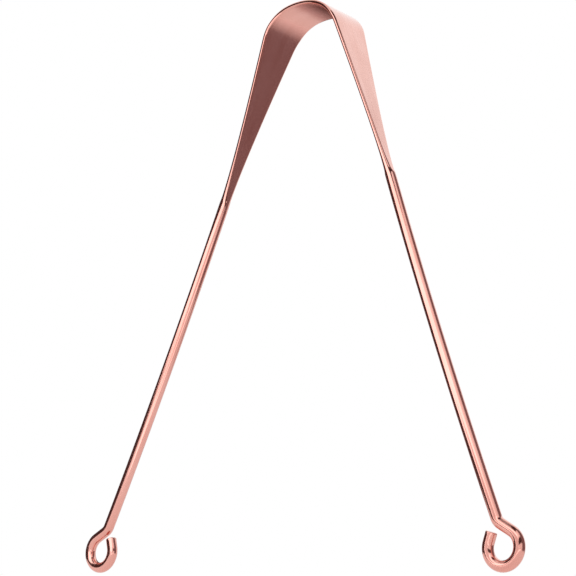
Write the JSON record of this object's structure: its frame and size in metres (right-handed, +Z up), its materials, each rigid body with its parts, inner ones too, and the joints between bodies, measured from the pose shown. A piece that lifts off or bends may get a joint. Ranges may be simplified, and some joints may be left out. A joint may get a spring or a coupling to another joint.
{
  "type": "tongue scraper",
  "caption": "Springy arched metal scraper blade carried between slightly bowed round-wire handles, each ending in a bent hanging eye.",
  "frame": {"origin": "midway between the eyes, on the surface that they stand on", "axes": "+X from the left handle to the right handle, +Y across the width of the blade, away from the viewer, +Z up to the peak of the arch"},
  "size_m": [0.144, 0.0134, 0.1507],
  "materials": {
    "blade_metal": "satin rose copper",
    "handle_metal": "polished rose copper"
  },
  "bodies": {
    "arch": {"scraper_blade": "blade_metal"},
    "left_arm": {"left_handle": "handle_metal"},
    "right_arm": {"right_handle": "handle_metal"}
  },
  "joints": [
    {"name": "left_flex", "type": "hinge", "parent": "arch", "child": "left_arm", "pos_m": [-0.01835, 0, 0.1269], "axis": [0, -1, 0], "range_deg": [-6, 10], "stiffness_Nm_per_rad": 1.5, "deforming": ["scraper_blade"]},
    {"name": "right_flex", "type": "hinge", "parent": "arch", "child": "right_arm", "pos_m": [0.01835, 0, 0.1269], "axis": [0, 1, 0], "range_deg": [-6, 10], "stiffness_Nm_per_rad": 1.5, "deforming": ["scraper_blade"]}
  ]
}
